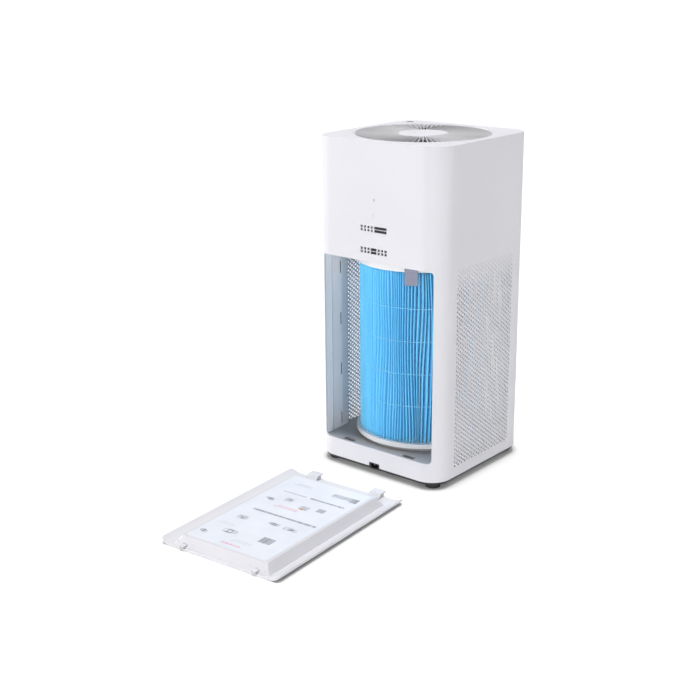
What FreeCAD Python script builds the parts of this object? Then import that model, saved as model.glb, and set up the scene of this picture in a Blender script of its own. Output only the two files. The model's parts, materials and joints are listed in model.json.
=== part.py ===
import FreeCAD, Part
import math
import os
import re

import Sketcher
from FreeCAD import Placement, Rotation, Vector

# Tower air purifier. +Z up, front towards -Y, filter bay open towards +Y.
# The origin is the centre of the base, on the floor. All sizes are in millimetres.

doc = FreeCAD.newDocument("tower_air_purifier")

# ------------------------------------------------------------------ driving dimensions

SIZES = {
    # housing
    "body_width": 240.0,
    "body_top": 525.5,
    "corner_radius": 34.0,
    "wall": 2.5,
    "body_bottom": 12.1,
    "skirt_bottom": 8.1,
    "skirt_inset": 2.0,
    "foot_radius": 11.5,
    "foot_offset": 97.0,
    "base_thickness": 3.0,
    "seam": 0.1,
    "clip_bottom": 6.1,
    # filter bay
    "bay_width": 211.0,
    "bay_bottom": 42.0,
    "bay_top": 344.0,
    "bay_corner": 7.0,
    "floor_thickness": 3.0,
    "boss_radius": 97.0,
    "boss_height": 5.1,
    "tab_offset": 59.0,
    "tab_slot_width": 22.0,
    "tab_slot_depth": 8.0,
    "tab_slot_at": 109.0,
    "tab_width": 20.5,
    "liner_face": 105.5,
    "liner_sheet": 2.2,
    "clip_slot_pitch": 85.0,
    "clip_slot_tall": 20.0,
    "clip_slot_first": 57.5,
    "clip_slot_y": 72.5,
    "liner_end": 52.0,
    # intake fields
    "field_width": 154.0,
    "field_bottom": 25.5,
    "field_top": 346.5,
    "panel_thickness": 1.5,
    "hole_radius": 1.9,
    "hole_column_pitch": 4.67,
    "hole_row_pitch": 7.04,
    "hole_first_row": 30.7,
    # rear wall details
    "vent_pitch": 6.5,
    "vent_row_pitch": 5.0,
    "vent_first": 24.9,
    "vent_upper": 394.5,
    "vent_lower": 361.0,
    "lens_at": 438.5,
    "lens_radius": 2.2,
    "rear_button_at": 415.5,
    "rear_button_radius": 2.1,
    "rear_marks_x": 1.4,
    "inlet_at": 1.5,
    "inlet_width": 21.0,
    "inlet_bottom": 7.9,
    "inlet_top": 18.9,
    "inlet_back": 96.0,
    "inlet_face": 118.8,
    "status_at": 475.5,
    # top
    "deck_thickness": 5.0,
    "grille_radius": 106.5,
    "grille_top": 524.5,
    "grille_tall": 6.0,
    "vane_count": 80,
    "vane_thickness": 1.1,
    "vane_inner": 37.5,
    "vane_outer": 104.7,
    "cap_radius": 37.0,
    "power_x": 97.0,
    "power_y": -95.0,
    "power_radius": 6.5,
    "button_board_at": 505.5,
    "button_back": 511.5,
    # boards and switch
    "board_thickness": 1.6,
    "supply_at": 19.5,
    "main_board_at": 401.5,
    "switch_at": 25.5,
    "plug_level": 25.1,
    "harness_level": 430.5,
    "harness_x": -100.0,
    "harness_y": -98.0,
    # fan
    "deck_at": 348.5,
    "bell_radius": 80.0,
    "duct_radius": 98.0,
    "duct_wall": 2.0,
    "duct_bottom": 351.5,
    "duct_flare": 485.5,
    "impeller_radius": 88.0,
    "impeller_bottom": 377.5,
    "impeller_top": 438.5,
    "blade_count": 11,
    "blade_thickness": 2.0,
    "shaft_radius": 3.0,
    "bearing_clearance": 0.05,
    "bracket_at": 461.5,
    # filter
    "filter_ring_radius": 104.0,
    "filter_media_radius": 99.4,
    "filter_media_inner": 72.0,
    "filter_core_radius": 65.0,
    "filter_bottom": 47.5,
    "filter_top": 342.5,
    "cap_tall": 7.0,
    "gasket_gap": 0.3,
    "ring_tall": 12.0,
    "strap_width": 20.5,
    "strap_thick": 1.6,
    "strap_gap": 0.4,
    "strap_top": 341.0,
    "strap_bottom": 310.3,
    "strap_angle": 27.8,
    # rear cover, lying inside-up on the floor
    "cover_width": 210.5,
    "cover_length": 301.0,
    "cover_x": 1.8,
    "cover_y": 187.7,
    "cover_yaw": 4.45,
    "tray_width": 172.0,
    "tray_start": 22.0,
    "tray_end": 298.0,
    "tray_top": 15.5,
    "tray_wall": 2.0,
    "tray_draft": 38.0,
    "tray_corner": 6.0,
    "tab_out": 6.0,
    "tab_root": 7.0,
    "tab_ramp": 9.0,
    "tab_tall": 10.2,
    "tab_hook": 2.8,
    "label_thick": 0.3,
    "label_margin": 4.0,
    "latch_offset": 64.5,
    "latch_width": 24.0,
    "latch_nose": 8.0,
}

sheet = doc.addObject("Spreadsheet::Sheet", "sizes")
for row, (alias, value) in enumerate(SIZES.items(), start=1):
    sheet.set("A%d" % row, alias)
    sheet.set("B%d" % row, str(value))
    sheet.setAlias("B%d" % row, alias)
doc.recompute()

WORD = re.compile(r"\b(%s)\b" % "|".join(sorted(SIZES, key=len, reverse=True)))
nodes = []


def size(alias):
    return float(sheet.get(alias))


def bind(obj, prop, formula):
    """Bind a property to a formula written with the sheet's aliases."""
    obj.setExpression(prop, WORD.sub(r"sizes.\1", str(formula)))


def node(obj, label):
    """Register an object as a sub-part: its label names its file."""
    obj.Label = label
    nodes.append(obj)
    return obj


def place(obj, x=0, y=0, z=0):
    """Bind the three parts of an object's position."""
    for axis, formula in (("x", x), ("y", y), ("z", z)):
        bind(obj, "Placement.Base." + axis, formula)
    return obj


# ------------------------------------------------------------------ primitives

def block(name, length, width, height, x=0, y=0, z=0):
    """A box whose low corner is at x, y, z."""
    obj = doc.addObject("Part::Box", name)
    bind(obj, "Length", length)
    bind(obj, "Width", width)
    bind(obj, "Height", height)
    return place(obj, x, y, z)


def centred_block(name, length, width, height, x=0, y=0, z=0):
    """A box centred in plan on x, y, standing on z."""
    return block(name, length, width, height,
                 "%s - (%s) / 2" % (x, length), "%s - (%s) / 2" % (y, width), z)


def rod(name, radius, height, x=0, y=0, z=0, turn=None):
    """A cylinder along +Z, or turned by a Rotation."""
    obj = doc.addObject("Part::Cylinder", name)
    if turn is not None:
        obj.Placement = Placement(Vector(), turn)
    bind(obj, "Radius", radius)
    bind(obj, "Height", height)
    return place(obj, x, y, z)


def cone(name, radius_low, radius_high, height, x=0, y=0, z=0):
    obj = doc.addObject("Part::Cone", name)
    bind(obj, "Radius1", radius_low)
    bind(obj, "Radius2", radius_high)
    bind(obj, "Height", height)
    return place(obj, x, y, z)


def fuse(name, shapes):
    obj = doc.addObject("Part::MultiFuse", name)
    obj.Shapes = shapes
    return obj


def cut(name, base, *tools):
    """Base less one tool, or less several tools joined first."""
    tool = tools[0]
    if len(tools) > 1:
        tool = doc.addObject("Part::Compound", name + "_tools")
        tool.Links = list(tools)
    obj = doc.addObject("Part::Cut", name)
    obj.Base = base
    obj.Tool = tool
    return obj


def group(name, shapes):
    """Separate solids kept as one node."""
    obj = doc.addObject("Part::Compound", name)
    obj.Links = shapes
    return obj


def tube(name, outer, inner, height, z, x=0, y=0):
    """A plain ring about a vertical axis."""
    outside = rod(name + "_outside", outer, height, x, y, z)
    inside = rod(name + "_bore", inner, "%s + 2" % height, x, y, "%s - 1" % z)
    return cut(name, outside, inside)


def edges_along(shape, direction):
    """Numbers of the straight edges that run along a direction."""
    found = []
    for number, edge in enumerate(shape.Edges, start=1):
        if edge.Curve.TypeId == "Part::GeomLine":
            if abs(edge.tangentAt(edge.FirstParameter).dot(direction)) > 0.999:
                found.append(number)
    return found


def rounded(base, radius, direction=Vector(0, 0, 1)):
    """Round every edge of an object that runs along a direction."""
    doc.recompute()
    obj = doc.addObject("Part::Fillet", base.Name + "_rounded")
    obj.Base = base
    obj.Edges = [(n, radius, radius) for n in edges_along(base.Shape, direction)]
    return obj


def rounded_plate(name, inset, height, z):
    """A plate with the housing's rounded-square outline, set in by inset."""
    width = "body_width - 2 * (%s)" % inset
    base = centred_block(name, width, width, height, 0, 0, z)
    doc.recompute()
    radius = size("corner_radius") - (size("body_width") - base.Length.Value) / 2
    return rounded(base, radius)


# ------------------------------------------------------------------ sketches

def body(label):
    return node(doc.addObject("PartDesign::Body", label), label)


def sketch_on(part, name, role="XY_Plane"):
    """A sketch on one of the body's own origin planes."""
    sketch = part.newObject("Sketcher::SketchObject", name)
    plane = [f for f in part.Origin.OriginFeatures if f.Role == role][0]
    sketch.AttachmentSupport = [(plane, "")]
    sketch.MapMode = "FlatFace"
    return sketch


def draw_circle(sketch, radius, x="0", y="0"):
    """A circle whose radius and centre are bound to formulas."""
    index = sketch.addGeometry(Part.Circle(Vector(1, 1, 0), Vector(0, 0, 1), 1.0), False)
    n = sketch.addConstraint(Sketcher.Constraint("Radius", index, 1.0))
    bind(sketch, "Constraints[%d]" % n, radius)
    if x == "0" and y == "0":
        sketch.addConstraint(Sketcher.Constraint("Coincident", index, 3, -1, 1))
        return index
    n = sketch.addConstraint(Sketcher.Constraint("DistanceX", -1, 1, index, 3, 1.0))
    bind(sketch, "Constraints[%d]" % n, x)
    n = sketch.addConstraint(Sketcher.Constraint("DistanceY", -1, 1, index, 3, 1.0))
    bind(sketch, "Constraints[%d]" % n, y)
    return index


def draw_outline(sketch, points):
    """A closed outline of straight lines through points, each bound to two formulas."""
    count = len(points)
    for k in range(count):
        turn = 2 * math.pi * k / count
        ahead = 2 * math.pi * (k + 1) / count
        sketch.addGeometry(Part.LineSegment(Vector(math.cos(turn), math.sin(turn), 0),
                                            Vector(math.cos(ahead), math.sin(ahead), 0)), False)
    for k, (x, y) in enumerate(points):
        sketch.addConstraint(Sketcher.Constraint("Coincident", k, 2, (k + 1) % count, 1))
        n = sketch.addConstraint(Sketcher.Constraint("DistanceX", -1, 1, k, 1, 1.0))
        bind(sketch, "Constraints[%d]" % n, x)
        n = sketch.addConstraint(Sketcher.Constraint("DistanceY", -1, 1, k, 1, 1.0))
        bind(sketch, "Constraints[%d]" % n, y)


def pad(part, sketch, length, flipped=False):
    feature = part.newObject("PartDesign::Pad", sketch.Name + "_pad")
    feature.Profile = sketch
    feature.Reversed = flipped
    bind(feature, "Length", length)
    sketch.Visibility = False
    return feature


def raise_sketch(sketch, z):
    """Lift a sketch off its plane."""
    bind(sketch, "AttachmentOffset.Base.z", z)


def turned(label, radius, profile):
    """A round piece: a revolved profile of (radius, z) formulas, with radius as its check value."""
    part = body(label)
    sketch = sketch_on(part, label + "_profile", "XZ_Plane")
    draw_outline(sketch, profile)
    feature = part.newObject("PartDesign::Revolution", label + "_turned")
    feature.Profile = sketch
    feature.ReferenceAxis = (sketch, ["V_Axis"])
    feature.Angle = 360.0
    doc.recompute()
    reach = part.Shape.BoundBox.XMax
    if abs(reach - radius) > 0.01:
        raise RuntimeError("%s reaches %.2f, not %.2f" % (label, reach, radius))
    return part


def stored(label, shape, position=None):
    """A sub-part whose shape is worked out here from the sheet's sizes."""
    obj = doc.addObject("Part::Feature", label)
    obj.Shape = shape
    obj.Placement = position or Placement()
    return node(obj, label)


def lead(label, points, radius, bend):
    """A round lead along straight runs joined by tangent arcs."""
    edges = []
    start = points[0]
    for before, corner, after in zip(points, points[1:], points[2:]):
        come = (before - corner).normalize()
        leave = (after - corner).normalize()
        half = come.getAngle(leave) / 2
        reach = bend / math.tan(half)
        first = corner + come * reach
        last = corner + leave * reach
        inward = (come + leave).normalize()
        middle = corner + inward * (bend / math.sin(half) - bend)
        edges.append(Part.LineSegment(start, first).toShape())
        edges.append(Part.Arc(first, middle, last).toShape())
        start = last
    edges.append(Part.LineSegment(start, points[-1]).toShape())
    spine = Part.Wire(edges)
    section = Part.Wire([Part.Circle(points[0], points[1] - points[0], radius).toShape()])
    shape = spine.makePipeShell([section], True, False)
    expected = math.pi * radius ** 2 * spine.Length
    if abs(shape.Volume - expected) > 0.01 * expected:
        raise RuntimeError("%s has the wrong volume" % label)
    return stored(label, shape)


def screws(label, spots, head_z, tip_z, head_radius=3.4, shank_radius=1.5, head_tall=2.0):
    """Identical screws along Z, each head outside head_z, and the tools for their holes."""
    way = 1 if head_z > tip_z else -1
    solids, holes = [], []
    for number, (x, y) in enumerate(spots, start=1):
        name = "%s_%d" % (label, number)
        low = min(head_z, tip_z)
        shank = rod(name + "_shank", shank_radius, abs(head_z - tip_z), x, y, low)
        head_low = head_z if way > 0 else head_z - head_tall
        head = rod(name + "_head", head_radius, head_tall, x, y, head_low)
        solids.append(fuse(name, [shank, head]))
        holes.append(rod(name + "_hole", shank_radius, abs(head_z - tip_z), x, y, low))
    node(group(label, solids), label)
    return holes


QUARTER = Rotation(Vector(1, 0, 0), -90)     # turns +Z to +Y
LEFT, RIGHT = -1, 1                          # as seen from the front
CORNERS = [(a, b) for a in (-1, 1) for b in (-1, 1)]
INNER = "wall + seam"                        # inset of a plate that fits inside the shell


# ------------------------------------------------------------------ housing

def vent_tools(label, z, slots):
    """Openings of one sensor vent: slots are (first column, last column, width, height)."""
    tools = []
    for row in (-0.5, 0.5):
        for first, last, wide, tall in slots:
            name = "%s_%d_%d" % (label, int(row * 2), first)
            centre = "vent_first - vent_pitch * %s" % ((first + last) / 2)
            length = "vent_pitch * %d + %s" % (last - first, wide)
            level = "%s + vent_row_pitch * %s - %s / 2" % (z, row, tall)
            tools.append(centred_block(name, length, 12, tall, centre, "body_width / 2", level))
    return tools


def outer_casing():
    tall = "body_top - body_bottom"
    outside = rounded_plate("casing_outside", "0", tall, "body_bottom")
    inside = rounded_plate("casing_inside", "wall", tall + " + 2", "body_bottom - 1")
    bay = centred_block("bay_window", "bay_width", 40, "bay_top - bay_bottom", 0, 110, "bay_bottom")
    bay = rounded(bay, size("bay_corner"), Vector(0, 1, 0))
    tools = [inside, bay]
    field = "field_top - field_bottom"
    for side in (LEFT, RIGHT):
        tools.append(centred_block("side_window_%d" % (side + 1), 12, "field_width", field,
                                   "%d * body_width / 2" % side, 0, "field_bottom"))
    tools.append(centred_block("front_window", "field_width", 12, field,
                               0, "-body_width / 2", "field_bottom"))
    dots = [(k, k, 4.0, 3.6) for k in range(4)]
    tools += vent_tools("vent_high", "vent_upper", dots + [(4, 7, 4.2, 4.2)])
    dots = [(k, k, 4.4, 3.8) for k in (0, 1, 2, 5, 6, 7)]
    tools += vent_tools("vent_low", "vent_lower", dots + [(3, 4, 5.2, 4.2)])
    tools.append(rod("lens_hole", "lens_radius", 20, "rear_marks_x", 105, "lens_at", QUARTER))
    tools.append(rod("rear_button_hole", "rear_button_radius + 0.3", 20,
                     "rear_marks_x", 105, "rear_button_at", QUARTER))
    tools.append(centred_block("inlet_notch", "inlet_width", 12, "inlet_top - body_bottom + 1",
                               "inlet_at", "body_width / 2", "body_bottom - 1"))
    tools.append(centred_block("status_slot", 24, 12, 3, 0, "-body_width / 2", "status_at"))
    node(cut("casing", outside, *tools), "outer_casing")


def perforated_sheet():
    """A flat field of staggered round holes, standing on XZ and centred on Z."""
    half = size("field_width") / 2
    low, high = size("field_bottom"), size("field_top")
    corners = [Vector(-half, 0, low), Vector(half, 0, low), Vector(half, 0, high), Vector(-half, 0, high)]
    face = Part.Face(Part.makePolygon(corners + corners[:1]))
    across, pitch = size("hole_column_pitch"), size("hole_row_pitch")
    margin = 3.0
    columns = 32
    fade_start = high - 40
    wires = []
    for column in range(columns):
        x = (column - (columns - 1) / 2) * across
        z = size("hole_first_row") + pitch / 2 * (column % 2)
        while z < high - margin:
            fade = max(0.0, (z - fade_start) / (high - fade_start))
            radius = size("hole_radius") * (1 - 0.62 * fade)
            circle = Part.Circle(Vector(x, 0, z), face.normalAt(0, 0) * -1, radius)
            wires.append(Part.Wire([circle.toShape()]))
            z += pitch
    face.cutHoles(wires)
    return face.extrude(Vector(0, size("panel_thickness"), 0))


def intake_panels():
    """Three equal perforated fields, flush with the shell: left, right and front."""
    shape = perforated_sheet()
    half = size("body_width") / 2
    for label, turn in (("left_intake_panel", -90), ("front_intake_panel", 0), ("right_intake_panel", 90)):
        rotation = Rotation(Vector(0, 0, 1), turn)
        stored(label, shape, Placement(rotation.multVec(Vector(0, -half, 0)), rotation))


def top_cover():
    low = "body_top - deck_thickness"
    plate = rounded_plate("deck_plate", INNER, "deck_thickness", low)
    card_top = "button_board_at + board_thickness"
    bosses = [rod("board_boss_%d" % k, 2.5, "%s - (%s)" % (low, card_top),
                  "power_x + %d" % (9 * k), "power_y", card_top) for k in (-1, 1)]
    solid = fuse("deck_with_bosses", [plate] + bosses)
    tools = [rod("grille_hole", "grille_radius + 0.2", 20, 0, 0, low + " - 5"),
             rod("bezel_hole", "power_radius + 1.7", 20, "power_x", "power_y", low + " - 5")]
    node(cut("deck", solid, *tools), "top_cover")


def outlet_grille():
    """Thin radial vanes between a hub ring and a rim, all one moulding."""
    top, tall = size("grille_top"), size("grille_tall")
    count, half = int(size("vane_count")), size("vane_thickness") / 2
    inner, outer = size("vane_inner"), size("vane_outer")
    base = Vector(0, 0, top - tall)
    face = Part.Face(Part.Wire([Part.Circle(base, Vector(0, 0, 1), size("grille_radius")).toShape()]))
    slots = [Part.Wire([Part.Circle(base, Vector(0, 0, -1), size("vane_inner") - 6).toShape()])]
    step = 2 * math.pi / count

    def spot(radius, offset, turn):
        along = math.sqrt(radius ** 2 - offset ** 2)
        return base + Rotation(Vector(0, 0, 1), math.degrees(turn)).multVec(Vector(along, offset, 0))

    def rim(radius, turn):
        return base + Vector(radius * math.cos(turn), radius * math.sin(turn), 0)

    for k in range(count):
        here, ahead = k * step, (k + 1) * step
        middle = (here + ahead) / 2
        near, far = spot(inner, half, here), spot(outer, half, here)
        far_ahead, near_ahead = spot(outer, -half, ahead), spot(inner, -half, ahead)
        slots.append(Part.Wire([Part.Arc(near, rim(inner, middle), near_ahead).toShape(),
                                Part.LineSegment(near_ahead, far_ahead).toShape(),
                                Part.Arc(far_ahead, rim(outer, middle), far).toShape(),
                                Part.LineSegment(far, near).toShape()]))
    face.cutHoles(slots)
    stored("outlet_grille", face.extrude(Vector(0, 0, tall)))


def grille_cap():
    low, top = "grille_top", "body_top + 0.4"
    turned("grille_cap", size("cap_radius"),
           [("0", low), ("cap_radius", low), ("cap_radius", low + " + 0.7"), ("0", top)])


def power_button_parts():
    deck = "body_top - deck_thickness"
    bezel = tube("bezel", "power_radius + 1.7", "power_radius + 0.3", "deck_thickness", deck,
                 "power_x", "power_y")
    node(bezel, "power_button_bezel")
    board = centred_block("button_card", 22, 22, "board_thickness", "power_x", "power_y", "button_board_at")
    tact = rod("button_tact", 3, 3, "power_x", "power_y", "button_board_at + board_thickness")
    node(fuse("button_board_parts", [board, tact]), "button_board")
    button = body("power_button")
    sketch = sketch_on(button, "power_button_disc")
    draw_circle(sketch, "power_radius")
    pad(button, sketch, "body_top - 0.6 - button_back")
    place(button, "power_x", "power_y", "button_back")


def base_parts(holes):
    """The black base: a plate inside the shell, and a lower one that shows as a recessed skirt."""
    plate = rounded_plate("base_sheet", INNER, "base_thickness", "body_bottom")
    skirt = rounded_plate("base_skirt", "skirt_inset", "body_bottom - skirt_bottom", "skirt_bottom")
    floor = "body_bottom + base_thickness"
    posts = [rod("board_post_%d_%d" % (a + 1, b + 1), 3, "supply_at - (%s)" % floor,
                 50 * a, "20 + %d" % (28 * b), floor) for a, b in CORNERS]
    posts.append(centred_block("switch_post", 8, 8, "switch_at - (%s)" % floor,
                               "-tab_offset", "tab_slot_at", floor))
    notch = centred_block("base_notch", "inlet_width", "body_width / 2 - inlet_back", 20,
                          "inlet_at", "(body_width / 2 + inlet_back) / 2", 0)
    node(cut("base", fuse("base_with_posts", [plate, skirt] + posts), notch, *holes), "base_plate")
    feet = [rod("foot_%d_%d" % (a + 1, b + 1), "foot_radius", "skirt_bottom",
                "foot_offset * %d" % a, "foot_offset * %d" % b, 0) for a, b in CORNERS]
    node(group("feet", feet), "rubber_feet")
    clip = centred_block("clip_block", 14, 8, "skirt_bottom - clip_bottom", -29, 111, "clip_bottom")
    node(rounded(clip, 0.9), "lead_clip")


def power_inlet():
    depth = "inlet_face - inlet_back"
    shell = centred_block("inlet_shell", "inlet_width", depth, "inlet_top - inlet_bottom",
                          "inlet_at", "(inlet_face + inlet_back) / 2", "inlet_bottom")
    socket = centred_block("inlet_socket", 15, 20, 7.2, "inlet_at", "inlet_face - 4", "inlet_bottom + 1.9")
    node(cut("inlet_body", shell, rounded(socket, 3.0, Vector(0, 1, 0))), "power_inlet")
    pins = [rod("pin_%d" % k, 1.2, 9, "inlet_at + %s" % (4.3 * k), "inlet_face - 14",
                "inlet_bottom + 5.5", QUARTER) for k in (-1, 1)]
    node(group("pins", pins), "inlet_pins")


def power_board():
    top = "supply_at + board_thickness"
    parts = [centred_block("supply_card", 112, 66, "board_thickness", 0, 20, "supply_at"),
             centred_block("transformer", 30, 26, 15, -25, 20, top),
             centred_block("terminal", 16, 10, 8, "inlet_at", 48, top),
             centred_block("harness_plug", 8, 14, 8, -52, 20, top)]
    parts += [rod("capacitor_%d" % k, 7, 15, "10 + %d" % (17 * k), 22, top) for k in (1, 2)]
    node(fuse("supply", parts), "power_board")


def leads():
    """Two leads that the housing holds all the way."""
    x, low, plug = size("inlet_at"), size("inlet_top") - 1.9, size("plug_level")
    lead("inlet_lead", [Vector(x, size("inlet_back"), low), Vector(x, 80, low),
                        Vector(x, 68, plug), Vector(x, 53, plug)], 1.8, 8.0)
    x, y, high, wall = size("harness_x"), size("harness_y"), size("harness_level"), -108.5
    lead("wiring_harness",
         [Vector(-56.6, 20, plug), Vector(-84, 20, plug), Vector(-105, -30, plug), Vector(x, y, plug),
          Vector(x, y, high), Vector(wall, -50, high), Vector(wall, 84, high),
          Vector(-88, 110, high), Vector(-45, 110, high)], 2.6, 9.0)


# ------------------------------------------------------------------ filter bay

def bay_floor(holes):
    low = "bay_bottom - floor_thickness"
    plate = rounded_plate("floor_sheet", INNER, "floor_thickness", low)
    boss = rod("filter_boss", "boss_radius", "boss_height + floor_thickness", 0, 0, low)
    pillars = [rod("pillar_%d_%d" % (a + 1, b + 1), 4.5, "%s - body_bottom - base_thickness" % low,
                   78 * a, "%d" % (98 * b), "body_bottom + base_thickness") for a, b in CORNERS]
    slots = [centred_block("tab_slot_%d" % (side + 1), "tab_slot_width", "tab_slot_depth", 20,
                           "tab_offset * %d" % side, "tab_slot_at", low + " - 5") for side in (LEFT, RIGHT)]
    harness = rod("floor_harness_hole", 4, 20, "harness_x", "harness_y", low + " - 5")
    solid = fuse("floor_with_boss", [plate, boss] + pillars)
    node(cut("bay_tray", solid, harness, *(slots + holes)), "bay_floor")


def bay_liner(label, side):
    """The door frame of one side: a bent sheet with a row of clip slots."""
    face, sheet_out = "liner_face", "liner_face + liner_sheet"
    inner = [(face, "110.4"), (face, "97"), (face + " + 1.8", "95"), (face + " + 1.8", "clip_slot_y - 2"),
             (face + " + 5", "liner_end"), ("body_width / 2 - wall", "liner_end")]
    outer = [("body_width / 2 - wall", "liner_end + 2"), ("liner_face + 6.8", "liner_end + 2"),
             (sheet_out + " + 1.8", "clip_slot_y - 1.5"), (sheet_out + " + 1.8", "96"),
             (sheet_out, "98"), (sheet_out, "108.5")]
    part = doc.addObject("PartDesign::Body", label + "_sheet")
    sketch = sketch_on(part, label + "_outline")
    draw_outline(sketch, [("%d * (%s)" % (side, x), y) for x, y in inner + outer])
    pad(part, sketch, "deck_at - bay_bottom")
    place(part, 0, 0, "bay_bottom")
    slots = [centred_block("%s_slot_%d" % (label, k), 12, 2.4, "clip_slot_tall",
                           "%d * (liner_face + 3)" % side, "clip_slot_y",
                           "clip_slot_first + clip_slot_pitch * %d - clip_slot_tall / 2" % k)
             for k in range(4)]
    node(cut(label + "_cut", part, *slots), label)


def interlock():
    body_block = centred_block("switch_block", 20, 10, 9, "-tab_offset", "tab_slot_at", "switch_at")
    bore = rod("switch_bore", 2.3, 10, "-tab_offset", "tab_slot_at", "switch_at + 1")
    node(cut("switch", body_block, bore), "interlock_switch")
    plunger = body("interlock_plunger")
    sketch = sketch_on(plunger, "plunger_section")
    draw_circle(sketch, 2)
    pad(plunger, sketch, 10.5)
    place(plunger, "-tab_offset", "tab_slot_at", "switch_at + 4")


# ------------------------------------------------------------------ fan

def fan_deck(holes):
    plate = rounded_plate("deck_sheet", INNER, 3, "deck_at")
    lip = cone("bell_lip", "bell_radius + 4", "bell_radius - 6", 17, 0, 0, "deck_at + 2")
    bore = cone("bell_bore", "bell_radius + 2", "bell_radius - 8.6", 20, 0, 0, "deck_at")
    mouth = rod("bell_mouth", "bell_radius + 1", 10, 0, 0, "deck_at - 5")
    harness = rod("deck_harness_hole", 4, 20, "harness_x", "harness_y", "deck_at - 5")
    node(cut("deck_and_bell", fuse("deck_with_lip", [plate, lip]), bore, mouth, harness, *holes), "fan_deck")
    gasket = tube("gasket", "filter_ring_radius", "bell_radius + 2", "deck_at - filter_top - gasket_gap",
                  "filter_top + gasket_gap")
    node(gasket, "filter_gasket")


def fan_duct(holes):
    rise = "duct_flare - duct_bottom"
    flare = "grille_top - grille_tall - duct_flare"
    collar = "body_top - deck_thickness - duct_flare"
    wide = "grille_radius + 2"
    outside = fuse("duct_outside", [
        rod("duct_flange", "duct_radius + 9", 3, 0, 0, "duct_bottom"),
        rod("duct_barrel", "duct_radius", rise, 0, 0, "duct_bottom"),
        cone("duct_cone", "duct_radius", wide, flare, 0, 0, "duct_flare"),
        rod("duct_collar", wide, collar + " - (%s)" % flare, 0, 0, "duct_flare + " + flare)])
    inside = [
        rod("duct_bore", "duct_radius - duct_wall", rise + " + 1", 0, 0, "duct_bottom - 1"),
        cone("duct_throat", "duct_radius - duct_wall", "grille_radius - 1.4", flare, 0, 0, "duct_flare"),
        rod("duct_mouth", "grille_radius", 20, 0, 0, "duct_flare + " + flare)]
    node(cut("duct", outside, *(inside + holes)), "fan_duct")


def motor(holes):
    height = 3
    arms = [centred_block("arm_%d" % k, 200, 10, height, 0, 0, "bracket_at") for k in (0, 1)]
    arms[1] = centred_block("arm_across", 10, 200, height, 0, 0, "bracket_at")
    star = fuse("bracket_star", arms + [rod("bracket_hub", 28, height, 0, 0, "bracket_at")])
    trim = rod("bracket_trim", "duct_radius - duct_wall", height, 0, 0, "bracket_at")
    spider = doc.addObject("Part::Common", "spider")
    spider.Base, spider.Tool = star, trim
    bore = rod("bracket_bore", 4.5, 10, 0, 0, "bracket_at - 2")
    node(cut("bracket", spider, bore, *holes), "motor_bracket")
    coil = tube("stator_core", 30, 8, 18, "bracket_at - 18")
    more = [rod("stator_hole_%d" % k, 1.5, 9, 20 * x, 20 * y, "bracket_at - 9")
            for k, (x, y) in enumerate(((1, 0), (-1, 0), (0, 1), (0, -1)))]
    node(cut("stator", coil, *more), "motor_stator")
    rings = [tube("bearing_%d" % k, 8, "shaft_radius + bearing_clearance", 5, "bracket_at - %d" % drop)
             for k, drop in enumerate((18, 5))]
    node(group("bearings", rings), "shaft_bearings")


def impeller():
    """Back plate, leaned-back blades and inlet ring, hanging from the rotor."""
    part = body("impeller")
    plate = sketch_on(part, "impeller_plate")
    raise_sketch(plate, "impeller_top - 3")
    draw_circle(plate, "impeller_radius")
    draw_circle(plate, "shaft_radius")
    pad(part, plate, 3)
    blade = sketch_on(part, "impeller_blade")
    raise_sketch(blade, "impeller_bottom + 1")
    lean = "-(impeller_radius - 45) * 0.62"
    tip = "impeller_radius - 14.5"
    draw_outline(blade, [("42", "0"), (tip, lean), (tip, lean + " + blade_thickness * 1.25"),
                         ("42", "blade_thickness * 1.25")])
    wing = pad(part, blade, "impeller_top - impeller_bottom - 2")
    doc.recompute()
    pattern = part.newObject("PartDesign::PolarPattern", "impeller_blades")
    pattern.Originals = [wing]
    pattern.Axis = (blade, ["N_Axis"])
    pattern.Angle = 360
    bind(pattern, "Occurrences", "blade_count")
    part.Tip = pattern
    ring = sketch_on(part, "impeller_ring")
    raise_sketch(ring, "impeller_bottom")
    draw_circle(ring, "impeller_radius")
    draw_circle(ring, "impeller_radius - 18")
    part.Tip = pad(part, ring, 2)


def rotor():
    cup = rod("rotor_can", 36, 17, 0, 0, "impeller_top")
    hollow = rod("rotor_hollow", 33.5, 20, 0, 0, "impeller_top + 3")
    bore = rod("rotor_bore", "shaft_radius", 10, 0, 0, "impeller_top - 1")
    node(cut("rotor", cup, hollow, bore), "motor_rotor")
    shaft = rod("shaft", "shaft_radius", "bracket_at - impeller_top + 15", 0, 0, "impeller_top - 11")
    node(shaft, "fan_shaft")
    nut = doc.addObject("Part::Prism", "nut_blank")
    nut.Polygon = 6
    nut.Circumradius = 6.35
    nut.Height = 6
    place(nut, 0, 0, "impeller_top - 9")
    node(cut("nut", nut, rod("nut_bore", "shaft_radius", 10, 0, 0, "impeller_top - 10")), "impeller_nut")


# ------------------------------------------------------------------ electronics

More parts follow.
